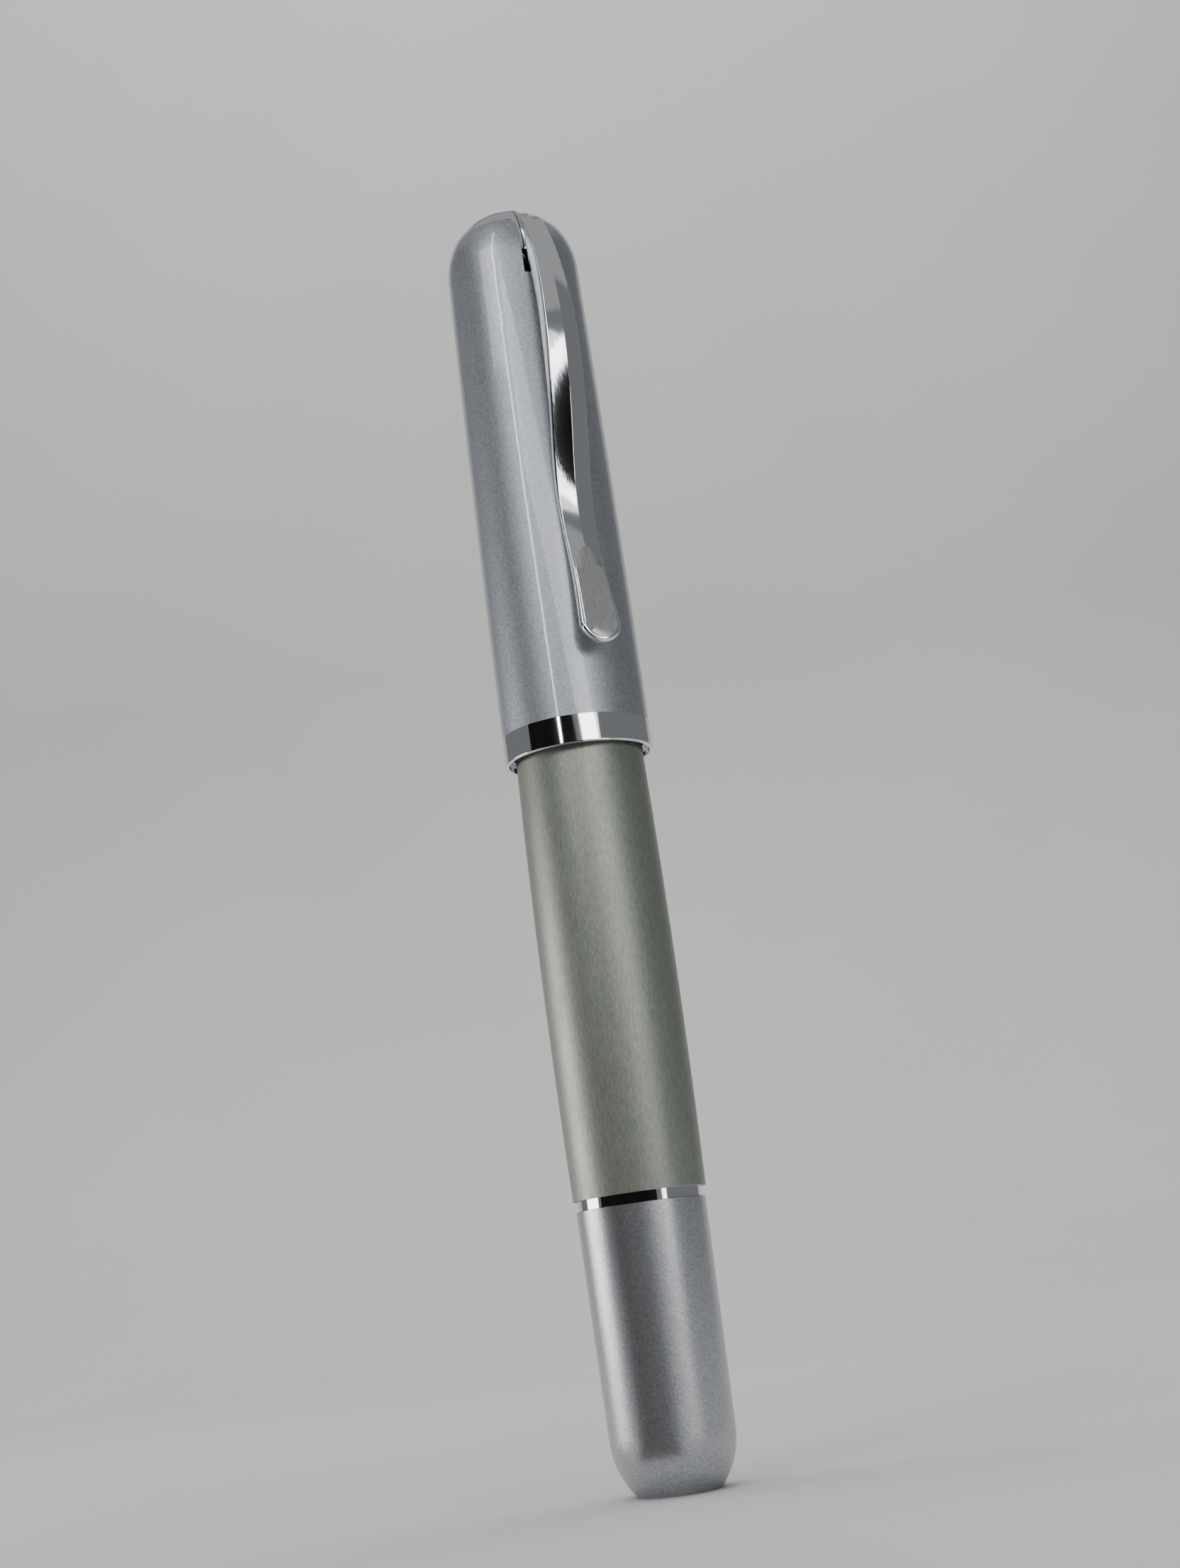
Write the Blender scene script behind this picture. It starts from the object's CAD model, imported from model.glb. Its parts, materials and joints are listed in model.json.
import json
import math

import bmesh
import bpy
import numpy as np
from mathutils import Matrix, Vector
from mathutils.bvhtree import BVHTree


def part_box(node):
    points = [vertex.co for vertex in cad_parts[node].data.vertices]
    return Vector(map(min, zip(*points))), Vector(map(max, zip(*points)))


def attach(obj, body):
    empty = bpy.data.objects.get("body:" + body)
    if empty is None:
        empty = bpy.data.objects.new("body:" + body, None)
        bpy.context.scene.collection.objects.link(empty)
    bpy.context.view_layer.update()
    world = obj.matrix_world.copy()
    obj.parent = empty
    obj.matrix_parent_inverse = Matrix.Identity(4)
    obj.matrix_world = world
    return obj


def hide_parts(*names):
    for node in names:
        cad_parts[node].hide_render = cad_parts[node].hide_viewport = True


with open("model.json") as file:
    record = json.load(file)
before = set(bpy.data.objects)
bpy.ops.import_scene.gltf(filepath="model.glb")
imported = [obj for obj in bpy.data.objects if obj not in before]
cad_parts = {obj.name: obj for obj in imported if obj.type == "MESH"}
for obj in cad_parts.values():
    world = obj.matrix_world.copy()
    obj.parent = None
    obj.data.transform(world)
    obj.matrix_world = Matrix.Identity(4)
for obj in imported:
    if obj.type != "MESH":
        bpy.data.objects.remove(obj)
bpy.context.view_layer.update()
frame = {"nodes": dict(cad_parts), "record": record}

# A capped fountain pen that stands on its flat tail end, +Z towards the crown, clip on the -Y side.
# The pen's pieces are worked out in millimetres; the studio and the camera are in metres.
# An azimuth is counted from the camera's own, in degrees, and a pitch is an angle above the horizontal.

MM = 0.001
NODES = frame["nodes"]

# Depths of the surface textures, in metres
SHALLOW_RELIEF = 0.00002
FINE_RELIEF = 0.00003
WAVE_RELIEF = 0.00005

CHROME = (0.80, 0.81, 0.83, 1)

# Clip, in millimetres
SMOOTH_ANGLE = 35                 # degrees, edges below it are shaded smooth
MERGE_DISTANCE = 0.0001
CLIP_FAR = 14.0                   # outside the clip, for rays aimed at it
CLIP_ROWS = 170                   # cross sections along the blade
CLIP_TURNS = 40                   # and round its tip
TIP_MARGIN = 0.02                 # lowest place where the tip is measured
TIP_INSET = 2.3                   # centre of the rounded tip above its end
END_GAP = 0.12                    # clear of the crown above the clip's end
SIDE_MARGIN = 0.3                 # below the end, the highest place where the width is measured
FRONT_LOW_STATIONS = (2, 5, 9, 13)
FRONT_MIDDLE = (16, 3)            # above the tip and below the end, with even stations between
FRONT_MIDDLE_COUNT = 10
FRONT_HIGH_STATIONS = (1.4, 0.5, 0)
BACK_STATIONS = 26
SIDE_STATIONS = 12
FACET_LENGTH = 10.8               # brushed facet, from its point down to the clip's tip
FACET_HALF_WIDTH = 1.75
FACET_NOSE = 1.5                  # how quickly the facet widens below its point
CREST_HALF_WIDTH = 0.012
CREST_TOLERANCE = 0.001
CREST_MARGIN = 0.06               # left between the crest and the rounded edge
EDGE_ROUNDING = 0.15              # along the clip
TIP_ROUNDING = 0.20               # more than that at its tip
TIP_ROUNDING_LENGTH = 5
EDGE_ANGLES = (15, 30, 45, 60, 75, 90)
CORNER_SHARE = 0.3                # cut off the rear corners, of the rounding
REAR_SHARES = (0.66, 0.33, 0.0)
FLANK_STEPS = 9
FLANK_DROP = 0.16                 # the edges lie this far behind the middle at the ends
BULGE_DROP = 0.42                 # and this much more along the bulge
BULGE_PLACE = 0.52                # middle of the bulge, as a share of the height
BULGE_SPREAD = 0.20
DROP_TAPER = 0.06                 # less drop at the clip's end than at its tip
FLANK_HOLLOW = 0.45               # how much more steeply a flank starts at the crest than it ends
NARROW_FLANK = 0.9                # narrower flanks drop less
NARROW_FLANK_DROP = 0.25
TONGUE_HALF_WIDTH = 0.9
TONGUE_CLEARANCE = 0.06           # beside the tongue, where the blade's rear is measured
TONGUE_DEPTH = 7                  # below the clip's end, how far the tongue hides the rear
TONGUE_REACH = 2.6                # from the pin to where the tongue joins the blade
TONGUE_INSET = 0.12               # clear of the spring beside it
TONGUE_STEPS = 96
EYE_RADIUS = 1.2
PIN_RADIUS = 0.6

# Camera
CAMERA_AZIMUTH = math.radians(-113)      # the clip stands 23 degrees to the right of the line to the camera
CAMERA_DISTANCE = 0.2186
CAMERA_HEIGHT = 0.0195
CAMERA_PITCH = math.radians(12.9)
CAMERA_YAW = math.radians(0.185)
CAMERA_ROLL = math.radians(7.89)
CAMERA_LENS = 50.45
CAMERA_CLIP_START = 0.01

# Floor and backdrop
FLOOR_FRONT = 1.2
CURVE_START = -0.55
CURVE_RADIUS = 0.35
CURVE_STEPS = 24
WALL_HEIGHT = 1.9
BACKDROP_HALF_WIDTH = 0.7
BACKDROP_ANGLE = 60               # degrees, edges below it are shaded smooth
PEN_MIDDLE = (0, 0, 0.07)
CARD_BASE = 0.07                  # height that the cards' and lights' pitches are seen from
CARD_FOOT = 0.002
CARD_STEPS = 12
CARD_SHADE = 0.006
MAT_HEIGHT = 0.0004
MAT_SHADE = 0.07
WORLD_COLOUR = (0.80, 0.82, 0.85, 1)
WORLD_STRENGTH = 0.22


def around_pen(azimuth, distance, height):
    """Point at an azimuth, a distance from the pen's axis and a height."""
    angle = CAMERA_AZIMUTH + math.radians(azimuth)
    return Vector((math.cos(angle) * distance, math.sin(angle) * distance, height))


def pitched_point(azimuth, distance, pitch):
    """Point at an azimuth and a distance, as high as its pitch from the middle of the pen says."""
    return around_pen(azimuth, distance, CARD_BASE + distance * math.tan(math.radians(pitch)))


WALL_MIDDLE = around_pen(180, 0.9, 0.4)


# ---- Mesh helpers ----

def add_mesh(name, bm):
    """Turns a bmesh into an object of the scene."""
    mesh = bpy.data.meshes.new(name)
    bm.to_mesh(mesh)
    bm.free()
    obj = bpy.data.objects.new(name, mesh)
    bpy.context.scene.collection.objects.link(obj)
    return obj


def add_piece(name, bm, body, materials, replaced=()):
    """Turns a bmesh in millimetres into a piece that rides on a CAD body."""
    bmesh.ops.scale(bm, vec=(MM, MM, MM), verts=bm.verts)
    bmesh.ops.recalc_face_normals(bm, faces=bm.faces)
    obj = add_mesh(name, bm)
    for material in materials:
        obj.data.materials.append(material)
    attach(obj, body)
    if replaced:
        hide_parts(*replaced)
    return obj


def shade_smooth(obj, angle):
    """Smooth shading with crisp edges where faces meet at more than an angle, in degrees."""
    mesh = obj.data
    mesh.polygons.foreach_set("use_smooth", [True] * len(mesh.polygons))
    mesh.set_sharp_from_angle(angle=math.radians(angle))


def join_rings(bm, first, second):
    """Faces between two closed rings with the same number of vertices."""
    for i in range(len(first)):
        j = (i + 1) % len(first)
        bm.faces.new((first[i], first[j], second[j], second[i]))


def strip(rows):
    """Bmesh of a strip with two points in each row."""
    bm = bmesh.new()
    corners = [[bm.verts.new(point) for point in row] for row in rows]
    for first, second in zip(corners, corners[1:]):
        bm.faces.new((first[0], first[1], second[1], second[0]))
    return bm


# ---- Materials ----

class Graph:
    """Small helper to build a node material."""

    def __init__(self, name):
        self.material = bpy.data.materials.new(name)
        self.material.use_nodes = True
        self.tree = self.material.node_tree
        self.shader = self.tree.nodes["Principled BSDF"]
        self.coords = self.add("ShaderNodeTexCoord").outputs["Object"]

    def add(self, kind, **settings):
        node = self.tree.nodes.new(kind)
        for key, value in settings.items():
            setattr(node, key, value)
        return node

    def link(self, source, target):
        self.tree.links.new(source, target)

    def set(self, **values):
        """Sets sockets of the shader, named with underscores for spaces."""
        for key, value in values.items():
            self.shader.inputs[key.replace("_", " ")].default_value = value

    def scaled(self, scale, coords=None):
        """Coordinates, the object's own by default, stretched by a factor on each axis."""
        mapping = self.add("ShaderNodeMapping")
        mapping.inputs["Scale"].default_value = scale
        self.link(coords or self.coords, mapping.inputs["Vector"])
        return mapping.outputs["Vector"]

    def noise(self, scale, vector=None, detail=4.0, roughness=0.55):
        """Noise with a number of cells per metre, or per unit of the vector."""
        node = self.add("ShaderNodeTexNoise")
        node.inputs["Scale"].default_value = scale
        node.inputs["Detail"].default_value = detail
        node.inputs["Roughness"].default_value = roughness
        self.link(vector or self.coords, node.inputs["Vector"])
        return node.outputs["Fac"]

    def around(self):
        """Coordinates that run round the pen: cosine and sine of the angle about it, and the height."""
        split = self.add("ShaderNodeSeparateXYZ")
        self.link(self.coords, split.inputs[0])
        flat = self.add("ShaderNodeCombineXYZ")
        self.link(split.outputs["X"], flat.inputs["X"])
        self.link(split.outputs["Y"], flat.inputs["Y"])
        unit = self.add("ShaderNodeVectorMath", operation="NORMALIZE")
        self.link(flat.outputs[0], unit.inputs[0])
        parts = self.add("ShaderNodeSeparateXYZ")
        self.link(unit.outputs[0], parts.inputs[0])
        joined = self.add("ShaderNodeCombineXYZ")
        self.link(parts.outputs["X"], joined.inputs["X"])
        self.link(parts.outputs["Y"], joined.inputs["Y"])
        self.link(split.outputs["Z"], joined.inputs["Z"])
        return joined.outputs[0]

    def ramp(self, factor, stops):
        """Colour ramp: stops are (position, colour or grey value)."""
        node = self.add("ShaderNodeValToRGB")
        elements = node.color_ramp.elements
        while len(elements) < len(stops):
            elements.new(0.5)
        for element, (position, colour) in zip(elements, stops):
            element.position = position
            element.color = (*colour, 1) if isinstance(colour, tuple) else (colour, colour, colour, 1)
        self.link(factor, node.inputs["Fac"])
        return node.outputs["Color"]

    def span(self, factor, low_value, high_value):
        """Stretches a 0..1 factor to a range."""
        node = self.add("ShaderNodeMapRange")
        node.inputs["To Min"].default_value = low_value
        node.inputs["To Max"].default_value = high_value
        self.link(factor, node.inputs["Value"])
        return node.outputs["Result"]

    def bump(self, height, strength, depth):
        """Surface relief from a height, for the shader's normal."""
        node = self.add("ShaderNodeBump")
        node.inputs["Strength"].default_value = strength
        node.inputs["Distance"].default_value = depth
        self.link(height, node.inputs["Height"])
        self.to(node.outputs["Normal"], "Normal")

    def to(self, source, socket):
        """Feeds a socket of the shader."""
        self.link(source, self.shader.inputs[socket])


def lacquer_silver():
    """Satin metallic lacquer with a fine sparkle."""
    g = Graph("lacquer_silver")
    g.set(Metallic=0.9, Coat_Weight=1.0, Coat_Roughness=0.04)
    grain = g.noise(3600, detail=5, roughness=0.75)
    colour = g.ramp(grain, [(0.34, (0.28, 0.305, 0.338)), (0.66, (0.48, 0.505, 0.545))])
    g.to(colour, "Base Color")
    g.to(g.span(grain, 0.36, 0.50), "Roughness")
    height = g.noise(4200, detail=4)
    g.bump(height, 0.45, FINE_RELIEF)
    return g.material


def anodised_barrel():
    """Green-grey anodised aluminium with a fine grain."""
    g = Graph("anodised_barrel")
    g.set(Metallic=0.8, Anisotropic=0.35)
    grain = g.noise(1.0, g.scaled((36, 36, 1400), g.around()), detail=6, roughness=0.7)
    broad = g.noise(160, detail=2)
    colour = g.ramp(grain, [(0.33, (0.22, 0.246, 0.208)), (0.67, (0.35, 0.378, 0.325))])
    g.to(colour, "Base Color")
    g.to(g.span(broad, 0.36, 0.46), "Roughness")
    g.bump(grain, 0.25, SHALLOW_RELIEF)
    return g.material


def turned_silver():
    """Satin silver of the tail: a fine blasted grain over faint turning marks."""
    g = Graph("turned_silver")
    g.set(Metallic=1.0)
    rings = g.noise(1.0, g.scaled((20, 20, 2600)), detail=3, roughness=0.5)
    fine = g.noise(4600, detail=4, roughness=0.7)
    colour = g.ramp(fine, [(0.34, (0.36, 0.375, 0.40)), (0.66, (0.59, 0.605, 0.63))])
    g.to(colour, "Base Color")
    g.to(g.span(rings, 0.27, 0.31), "Roughness")
    g.bump(fine, 0.50, FINE_RELIEF)
    return g.material


def polished_chrome():
    """Bright chrome plate with faint handling haze."""
    g = Graph("polished_chrome")
    g.set(Metallic=1.0, Base_Color=CHROME)
    haze = g.noise(300, detail=5)
    g.to(g.span(haze, 0.03, 0.09), "Roughness")
    wave = g.noise(180, detail=2)
    g.bump(wave, 0.02, WAVE_RELIEF)
    return g.material


def drawn_chrome():
    """Chrome of the clip, with faint polishing streaks along it."""
    g = Graph("drawn_chrome")
    g.set(Metallic=1.0, Base_Color=CHROME)
    streaks = g.noise(1.0, g.scaled((4200, 4200, 110)), detail=3, roughness=0.6)
    g.to(g.span(g.noise(300, detail=5), 0.07, 0.12), "Roughness")
    g.bump(streaks, 0.35, FINE_RELIEF)
    return g.material


def brushed_chrome():
    """Brushed flat on the clip, grained along the clip."""
    g = Graph("brushed_chrome")
    g.set(Metallic=1.0)
    grain = g.noise(1.0, g.scaled((5200, 5200, 260)), detail=5, roughness=0.7)
    colour = g.ramp(grain, [(0.25, (0.40, 0.405, 0.405)), (0.75, (0.60, 0.60, 0.595))])
    g.to(colour, "Base Color")
    g.to(g.span(grain, 0.28, 0.46), "Roughness")
    g.bump(grain, 0.3, SHALLOW_RELIEF)
    return g.material


def machined(name, dark, light, rough_low, rough_high):
    """Turned metal of an inner piece."""
    g = Graph(name)
    g.set(Metallic=1.0)
    grain = g.noise(1.0, g.scaled((60, 60, 3600)), detail=4)
    g.to(g.ramp(grain, [(0.3, dark), (0.7, light)]), "Base Color")
    g.to(g.span(g.noise(900), rough_low, rough_high), "Roughness")
    g.bump(grain, 0.2, SHALLOW_RELIEF)
    return g.material


def moulded(name, dark, light, rough_low, rough_high):
    """Moulded plastic with a faint texture."""
    g = Graph(name)
    g.set(Specular_IOR_Level=0.5)
    broad = g.noise(240, detail=3)
    g.to(g.ramp(broad, [(0.3, dark), (0.7, light)]), "Base Color")
    g.to(g.span(g.noise(1500), rough_low, rough_high), "Roughness")
    g.bump(g.noise(3000, detail=3), 0.08, FINE_RELIEF)
    return g.material


def cartridge_plastic():
    """Translucent moulded plastic of the ink cartridge."""
    g = Graph("cartridge_plastic")
    g.set(Transmission_Weight=0.55, IOR=1.46, Specular_IOR_Level=0.5)
    broad = g.noise(200, detail=3)
    g.to(g.ramp(broad, [(0.3, (0.10, 0.17, 0.45)), (0.7, (0.16, 0.25, 0.58))]), "Base Color")
    g.to(g.span(g.noise(1200), 0.16, 0.26), "Roughness")
    g.bump(g.noise(1800), 0.06, FINE_RELIEF)
    return g.material


MATERIALS = {
    "cap_silver": lacquer_silver(),
    "barrel_green_grey": anodised_barrel(),
    "tail_silver": turned_silver(),
    "chrome": polished_chrome(),
    "clip_chrome": drawn_chrome(),
    "brushed": brushed_chrome(),
    "brass": machined("machined_brass", (0.55, 0.42, 0.18), (0.74, 0.60, 0.32), 0.22, 0.36),
    "steel": machined("plain_steel", (0.42, 0.43, 0.44), (0.60, 0.61, 0.62), 0.24, 0.38),
    "nib_steel": machined("nib_steel", (0.66, 0.66, 0.66), (0.80, 0.80, 0.80), 0.10, 0.18),
    "black_plastic": moulded("black_plastic", (0.012, 0.012, 0.014), (0.024, 0.024, 0.027), 0.26, 0.40),
    "grey_plastic": moulded("grey_plastic", (0.20, 0.21, 0.22), (0.27, 0.28, 0.29), 0.36, 0.50),
    "ink_plastic": cartridge_plastic(),
}


def paper(name, dark, light, roughness, specular, scale, detail):
    """Matt surface of the studio, a little uneven in its shade."""
    g = Graph(name)
    g.set(Specular_IOR_Level=specular, Roughness=roughness)
    g.to(g.ramp(g.noise(scale, detail=detail), [(0.3, dark), (0.7, light)]), "Base Color")
    return g.material


def finish_cad_nodes():
    """Gives every CAD node the material of its record slot."""
    slots = {part["node"]: part["material_slot"] for part in frame["record"]["subparts"]}
    for node, obj in NODES.items():
        material = MATERIALS[slots[node]]
        obj.data.materials.clear()
        obj.data.materials.append(material)


# ---- Clip ----

def surface_tree(node):
    """Ray-casting tree of a CAD piece."""
    mesh = NODES[node].data
    vertices = [v.co.copy() for v in mesh.vertices]
    return BVHTree.FromPolygons(vertices, [tuple(p.vertices) for p in mesh.polygons])


CLIP_TREE = surface_tree("clip")


def clip_hit(origin, direction):
    """Where a ray meets the CAD clip, in millimetres; None where it passes by."""
    hit = CLIP_TREE.ray_cast(Vector(origin) * MM, Vector(direction))[0]
    return hit / MM if hit else None


def spline(heights, values):
    """Natural cubic spline through the points, as a function of height."""
    x, y = np.array(heights), np.array(values)
    count = len(x)
    step = np.diff(x)
    system = np.eye(count)
    right = np.zeros(count)
    for i in range(1, count - 1):
        system[i, i - 1:i + 2] = (step[i - 1], 2 * (step[i - 1] + step[i]), step[i])
        right[i] = 6 * ((y[i + 1] - y[i]) / step[i] - (y[i] - y[i - 1]) / step[i - 1])
    bend = np.linalg.solve(system, right)

    def value(z):
        i = int(np.clip(np.searchsorted(x, z) - 1, 0, count - 2))
        h = step[i]
        a, b = (x[i + 1] - z) / h, (z - x[i]) / h
        return a * y[i] + b * y[i + 1] + ((a ** 3 - a) * bend[i] + (b ** 3 - b) * bend[i + 1]) * h * h / 6

    return value


class ClipShape:
    """The clip's front line, back line and half width, read from its CAD piece at a few heights."""

    def __init__(self):
        self.tip, top = (corner[2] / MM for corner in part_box("clip"))
        self.centre = self.tip + TIP_INSET
        self.facet_point = self.tip + FACET_LENGTH
        self.end = top - END_GAP
        self.widest_end = self.end - SIDE_MARGIN
        front_heights = self.front_stations()
        self.front = spline(front_heights, [clip_hit((0, -CLIP_FAR, z), (0, 1, 0)).y for z in front_heights])
        back_heights = np.linspace(self.tip + TIP_MARGIN, self.end, BACK_STATIONS)
        self.back = spline(back_heights, [self.back_hit(z) for z in back_heights])
        side_heights = np.linspace(self.centre, self.widest_end, SIDE_STATIONS)
        self.half_width = spline(side_heights, [self.side(z) for z in side_heights])

    def front_stations(self):
        """Heights where the front is measured, closer together where it bends more."""
        low = [self.tip + height for height in (TIP_MARGIN, *FRONT_LOW_STATIONS)]
        middle = np.linspace(self.tip + FRONT_MIDDLE[0], self.end - FRONT_MIDDLE[1], FRONT_MIDDLE_COUNT)
        high = [self.end - height for height in FRONT_HIGH_STATIONS]
        return [*low, *middle, *high]

    def back_hit(self, z):
        """Rear face of the blade; beside the tongue where the tongue hides it."""
        x = TONGUE_HALF_WIDTH + TONGUE_CLEARANCE if z > self.end - TONGUE_DEPTH else 0
        return clip_hit((x, 0, z), (0, -1, 0)).y

    def middle(self, z):
        return (self.front(z) + self.back(z)) / 2

    def side(self, z):
        return clip_hit((CLIP_FAR, self.middle(z), z), (-1, 0, 0)).x

    def reach(self, z):
        """Half width at a height, the same all the way above the highest station."""
        return self.half_width(min(z, self.widest_end))

    def tip_reach(self, angle):
        """Distance from the rounded tip's centre to its edge, at an angle below the horizontal."""
        direction = Vector((math.cos(angle), 0, -math.sin(angle)))
        start = Vector((0, self.middle(self.centre), self.centre))
        return (clip_hit(start + direction * CLIP_FAR, -direction) - start).length

    def crest(self, z):
        """Half width of the level middle: a narrow crest that opens into the teardrop facet."""
        below = self.facet_point - z
        opening = FACET_HALF_WIDTH * (1 - math.exp(-below / FACET_NOSE)) if below > 0 else 0
        return CREST_HALF_WIDTH + opening

    def flank_drop(self, z):
        """How far the clip's edges lie behind its middle: most along the bulge, little at the ends."""
        share = (z - self.tip) / (self.end - self.tip)
        bulge = BULGE_DROP * math.exp(-((share - BULGE_PLACE) / BULGE_SPREAD) ** 2)
        return FLANK_DROP + bulge - DROP_TAPER * share


def clip_ray(shape, reach, crest, z_of, place):
    """One profile from the middle of the front, round the edge and back to the middle of the rear.

    A distance from the middle turns into a height by z_of, and with a depth into a point by place.
    """
    near_tip = math.exp(-((z_of(reach) - shape.tip) / TIP_ROUNDING_LENGTH) ** 2)
    rounding = EDGE_ROUNDING + TIP_ROUNDING * near_tip
    inner = reach - rounding
    crest = min(crest, inner - CREST_MARGIN)
    profile = []
    for share in (0.0, 0.5, 1.0):
        distance = crest * share
        profile.append((distance, shape.front(z_of(distance))))
    for step in range(1, FLANK_STEPS + 1):
        t = step / FLANK_STEPS
        distance = crest + (inner - crest) * t
        z = z_of(distance)
        drop = shape.flank_drop(z) * min(1.0, (inner - crest) / NARROW_FLANK + NARROW_FLANK_DROP)
        profile.append((distance, shape.front(z) + drop * ((1 + FLANK_HOLLOW) * t - FLANK_HOLLOW * t * t)))
    edge_y = profile[-1][1]
    back_y = shape.back(z_of(reach))
    for angle in EDGE_ANGLES:
        turn = math.radians(angle)
        profile.append((inner + rounding * math.sin(turn), edge_y + rounding * (1 - math.cos(turn))))
    corner = CORNER_SHARE * EDGE_ROUNDING
    profile += [(reach, back_y - EDGE_ROUNDING), (reach - corner, back_y - corner), (inner, back_y)]
    for share in REAR_SHARES:
        distance = inner * share
        profile.append((distance, shape.back(z_of(distance))))
    return [place(distance, y) for distance, y in profile]


def blade_ray(shape, z, side):
    """Profile of the blade at a height, on one of its sides."""
    return clip_ray(shape, shape.reach(z), shape.crest(z), lambda d: z, lambda d, y: (side * d, y, z))


def tip_ray(shape, angle):
    """Profile from the rounded tip's centre outwards, at an angle below the +X side."""
    across, down = math.cos(angle), math.sin(angle)
    return clip_ray(
        shape, shape.tip_reach(min(angle, math.pi - angle)), shape.crest(shape.centre),
        lambda d: shape.centre - d * down, lambda d, y: (d * across, y, shape.centre - d * down))


def make_clip():
    """Sculpted clip: a crest between hollow flanks that opens into a brushed facet at the tip."""
    shape = ClipShape()
    heights = [shape.end + (shape.centre - shape.end) * i / CLIP_ROWS for i in range(CLIP_ROWS + 1)]
    rays = [blade_ray(shape, z, 1) for z in heights]
    rays += [tip_ray(shape, math.pi * i / CLIP_TURNS) for i in range(1, CLIP_TURNS)]
    rays += [blade_ray(shape, z, -1) for z in reversed(heights)]
    bm = bmesh.new()
    grid = [[bm.verts.new(point) for point in ray] for ray in rays]
    for first, second in zip(grid, grid[1:]):
        for j in range(len(first) - 1):
            face = bm.faces.new((first[j], first[j + 1], second[j + 1], second[j]))
            middle_z = sum(v.co.z for v in face.verts) / 4
            face.material_index = 1 if j < 2 and middle_z < shape.facet_point else 0
    bmesh.ops.remove_doubles(bm, verts=bm.verts, dist=MERGE_DISTANCE)
    bmesh.ops.holes_fill(bm, edges=[edge for edge in bm.edges if edge.is_boundary])
    materials = [MATERIALS["clip_chrome"], MATERIALS["brushed"]]
    obj = add_piece("sculpted_clip", bm, "clip", materials, ["clip"])
    shade_smooth(obj, SMOOTH_ANGLE)
    crease_crest(obj, shape)


def crease_crest(obj, shape):
    """Keeps the crest above the facet crisp, where the flanks on its two sides meet."""
    mesh = obj.data
    for edge in mesh.edges:
        ends = [mesh.vertices[i].co / MM for i in edge.vertices]
        on_crest = all(abs(abs(end.x) - CREST_HALF_WIDTH) < CREST_TOLERANCE for end in ends)
        if on_crest and all(end.z > shape.facet_point for end in ends):
            edge.use_edge_sharp = True


def make_clip_tongue():
    """Tongue with an eye round the clip's pin, inside the head."""
    pin_low, pin_high = (Vector(corner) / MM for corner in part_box("clip_pin"))
    centre = (pin_low + pin_high) / 2
    centre.x = 0
    angles = [2 * math.pi * i / TONGUE_STEPS for i in range(TONGUE_STEPS)]
    spokes = [Vector((0, math.cos(angle), math.sin(angle))) for angle in angles]
    eye = [PIN_RADIUS] * TONGUE_STEPS
    outline = []
    for spoke in spokes:
        hit = clip_hit(centre + spoke * CLIP_FAR, -spoke)
        outline.append(min((hit - centre).length, TONGUE_REACH) - TONGUE_INSET if hit else EYE_RADIUS)
    bm = bmesh.new()

    def ring(x, radii):
        """Ring of vertices in a plane across the pin, one radius for each spoke."""
        middle = centre + Vector((x, 0, 0))
        return [bm.verts.new(middle + spoke * radius) for spoke, radius in zip(spokes, radii)]

    left, right = -TONGUE_HALF_WIDTH, TONGUE_HALF_WIDTH
    rings = [ring(left, eye), ring(left, outline), ring(right, outline), ring(right, eye)]
    for first, second in zip(rings, rings[1:] + rings[:1]):
        join_rings(bm, first, second)
    obj = add_piece("clip_tongue", bm, "clip", [MATERIALS["steel"]])
    shade_smooth(obj, SMOOTH_ANGLE)


# ---- Stage ----

def make_backdrop():
    """Pale floor that curves up into a backdrop behind the pen."""
    path = [(FLOOR_FRONT, 0.0), (CURVE_START, 0.0)]
    for step in range(1, CURVE_STEPS + 1):
        angle = math.pi / 2 * step / CURVE_STEPS
        path.append((CURVE_START - CURVE_RADIUS * math.sin(angle), CURVE_RADIUS * (1 - math.cos(angle))))
    path.append((CURVE_START - CURVE_RADIUS, WALL_HEIGHT))
    towards_camera = around_pen(0, 1, 0)
    across = around_pen(90, BACKDROP_HALF_WIDTH, 0)
    middles = [towards_camera * along + Vector((0, 0, height)) for along, height in path]
    backdrop = add_mesh("backdrop", strip([(middle - across, middle + across) for middle in middles]))
    shade_smooth(backdrop, BACKDROP_ANGLE)
    material = paper("paper", (0.46, 0.46, 0.455), (0.48, 0.48, 0.475), 0.9, 0.2, scale=6, detail=2)
    backdrop.data.materials.append(material)


def stage_card(name, rows, shade):
    """Matt dark card of the studio, hidden from the camera."""
    card = add_mesh(name, strip(rows))
    card.data.materials.append(paper(name, shade, 2 * shade, 0.95, 0.1, scale=4, detail=4))
    card.visible_camera = False
    return card


def dark_card(name, left, right, distance, low_pitches, high_pitches):
    """Upright card for the polished metal to reflect; each pair of pitches is for its left and right."""
    rows = []
    for step in range(CARD_STEPS + 1):
        share = step / CARD_STEPS
        azimuth = left + (right - left) * share
        row = []
        for at_left, at_right in (low_pitches, high_pitches):
            point = pitched_point(azimuth, distance, at_left + (at_right - at_left) * share)
            point.z = max(CARD_FOOT, point.z)
            row.append(point)
        rows.append(row)
    stage_card(name, rows, CARD_SHADE)


def floor_mat(name, left, right, near, far):
    """Dark mat on the floor between two azimuths and distances, which only reflections show."""
    azimuths = [left + (right - left) * step / CARD_STEPS for step in range(CARD_STEPS + 1)]
    rows = [[around_pen(azimuth, distance, MAT_HEIGHT) for distance in (near, far)] for azimuth in azimuths]
    mat = stage_card(name, rows, MAT_SHADE)
    mat.visible_diffuse = False
    mat.visible_shadow = False


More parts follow.
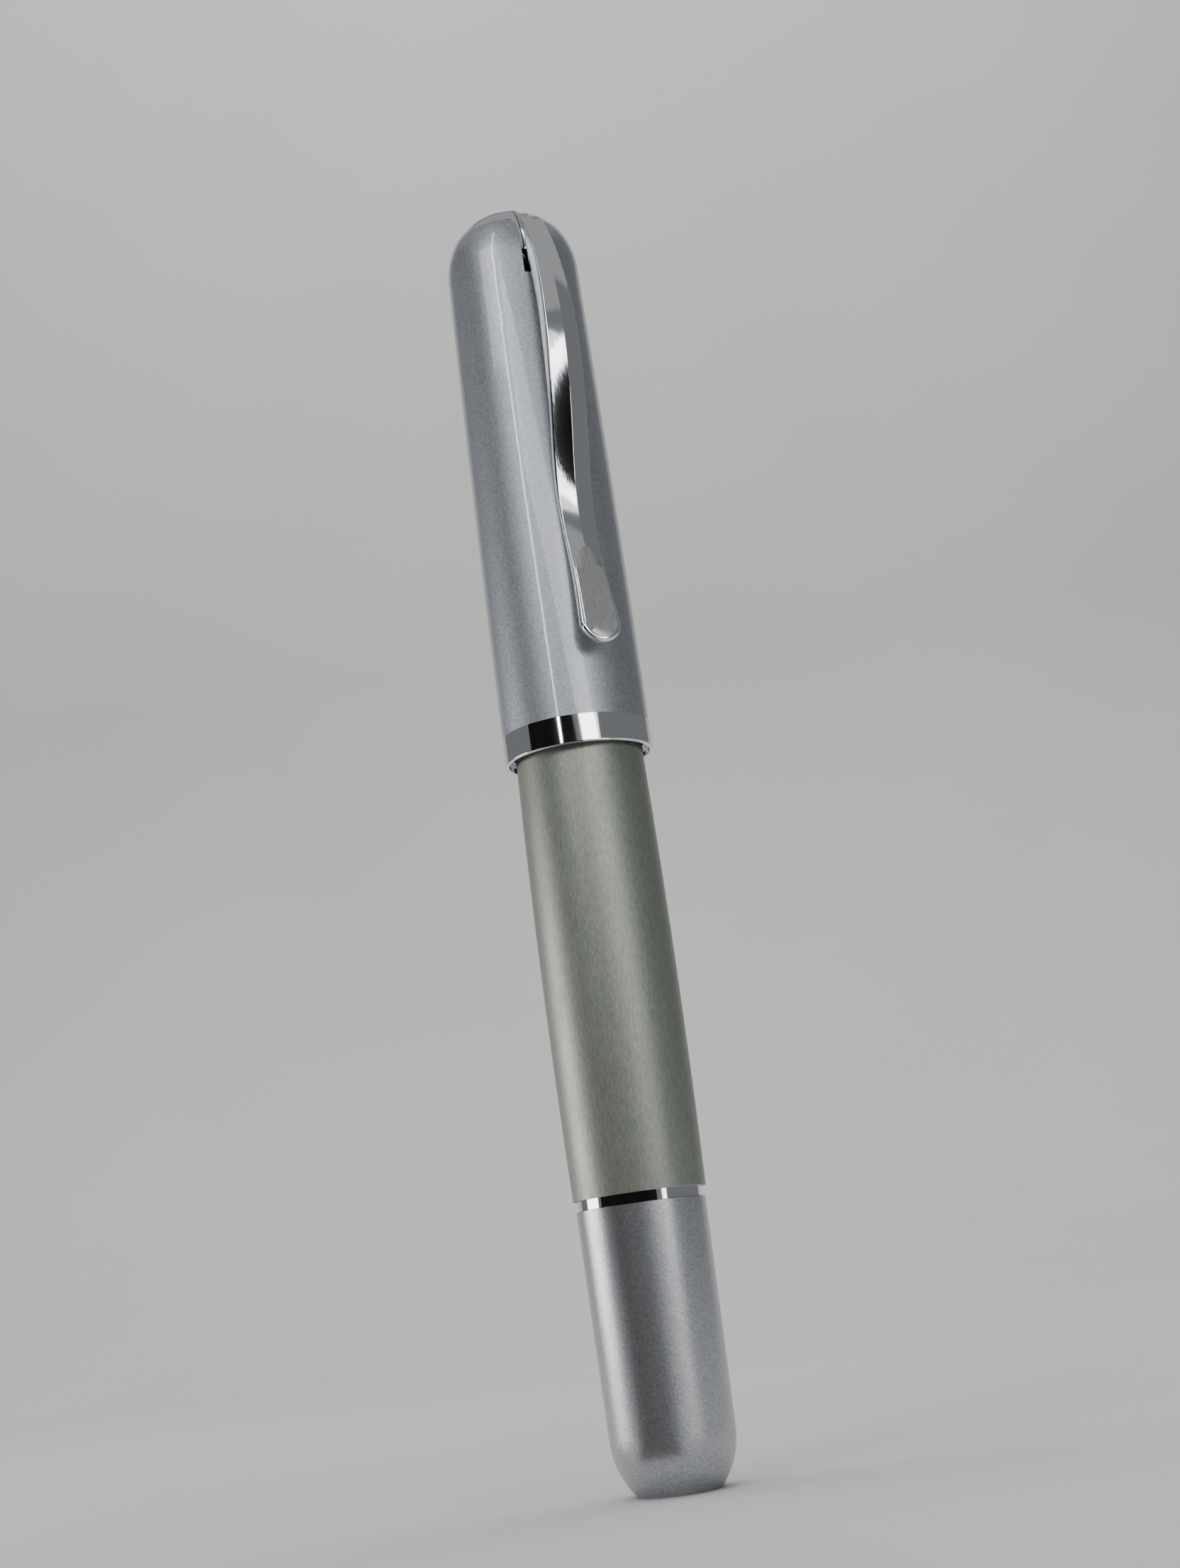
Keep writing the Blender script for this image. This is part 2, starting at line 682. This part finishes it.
def make_cards():
    dark_card("viewer", -20, 31, 0.42, (-8, -8), (4.5, 3.5))
    dark_card("shelf", -20, 31, 0.72, (-2, -2), (21, 3.5))
    floor_mat("floor_shade", -58, 12, 0.012, 0.42)
    dark_card("doorway", -76, -20, 0.55, (-8, -8), (26, 13))


# ---- Lights ----

def add_light(name, size, power, matrix):
    """Rectangular light that shines along its own -Z."""
    light = bpy.data.lights.new(name, "AREA")
    light.shape = "RECTANGLE"
    light.size, light.size_y = size
    light.energy = power
    obj = bpy.data.objects.new(name, light)
    obj.matrix_world = matrix
    bpy.context.scene.collection.objects.link(obj)
    return obj


def area_light(name, azimuth, distance, height, size, power, target=PEN_MIDDLE):
    """Soft light, placed around the pen and aimed at it, or at another target."""
    place = around_pen(azimuth, distance, height)
    aim = (Vector(target) - place).to_track_quat("-Z", "Y").to_matrix()
    return add_light(name, size, power, Matrix.Translation(place) @ aim.to_4x4())


def backdrop_light(name, distance, height, size, power, target=PEN_MIDDLE):
    """Light for the floor and backdrop, from behind the pen, which reflections don't show."""
    area_light(name, 180, distance, height, size, power, target).visible_glossy = False


def strip_light(name, start, end, distance, width, power):
    """Long thin light between two directions, each an azimuth and a pitch."""
    first, second = (pitched_point(azimuth, distance, pitch) for azimuth, pitch in (start, end))
    middle = (first + second) / 2
    along = (second - first).normalized()
    away = middle - Vector((0, 0, CARD_BASE))
    across = along.cross(away).normalized()
    axes = Matrix((along, across, across.cross(along))).transposed()
    add_light(name, ((second - first).length, width), power, Matrix.Translation(middle) @ axes.to_4x4())


def make_lights():
    world = bpy.data.worlds.new("studio")
    world.use_nodes = True
    background = world.node_tree.nodes["Background"]
    background.inputs["Color"].default_value = WORLD_COLOUR
    background.inputs["Strength"].default_value = WORLD_STRENGTH
    bpy.context.scene.world = world
    area_light("window", -98, 0.45, 0.074, (0.24, 0.14), 0.6)
    area_light("lamp", -43, 0.8, 0.60, (0.36, 0.20), 0.8)
    area_light("ceiling", 0, 0.3, 1.6, (3.0, 3.0), 5, target=(0, 0, 0))
    backdrop_light("room_fill", 0.3, 1.6, (2.0, 2.0), 22.5)
    backdrop_light("wall_wash", 0.15, 1.0, (0.9, 0.3), 7.5, target=WALL_MIDDLE)
    strip_light("daylight", (-24, 28), (50, -0.5), 0.80, 0.12, 1.6)
    strip_light("tube", (-30, 25), (-23, 13.5), 0.75, 0.035, 0.32)
    strip_light("tube_above", (-30, 25), (-36, 62), 0.75, 0.035, 1.7)
    area_light("sky", 23, 0.85, 0.345, (0.42, 0.19), 0.34)


# ---- Camera ----

def make_camera():
    """Camera low in front of the pen, looking up at it, rolled so that the crown leans left."""
    inward = around_pen(180, 1, 0)
    inward.rotate(Matrix.Rotation(-CAMERA_YAW, 3, "Z"))
    forward = inward * math.cos(CAMERA_PITCH) + Vector((0, 0, math.sin(CAMERA_PITCH)))
    right = forward.cross(Vector((0, 0, 1))).normalized()
    up = right.cross(forward)
    rolled_right = right * math.cos(CAMERA_ROLL) - up * math.sin(CAMERA_ROLL)
    rolled_up = up * math.cos(CAMERA_ROLL) + right * math.sin(CAMERA_ROLL)
    rotation = Matrix((rolled_right, rolled_up, -forward)).transposed()
    camera = bpy.data.cameras.new("camera")
    camera.lens = CAMERA_LENS
    camera.clip_start = CAMERA_CLIP_START
    obj = bpy.data.objects.new("camera", camera)
    place = around_pen(0, CAMERA_DISTANCE, CAMERA_HEIGHT)
    obj.matrix_world = Matrix.Translation(place) @ rotation.to_4x4()
    bpy.context.scene.collection.objects.link(obj)
    bpy.context.scene.camera = obj


finish_cad_nodes()
make_clip()
make_clip_tongue()
make_backdrop()
make_lights()
make_cards()
make_camera()
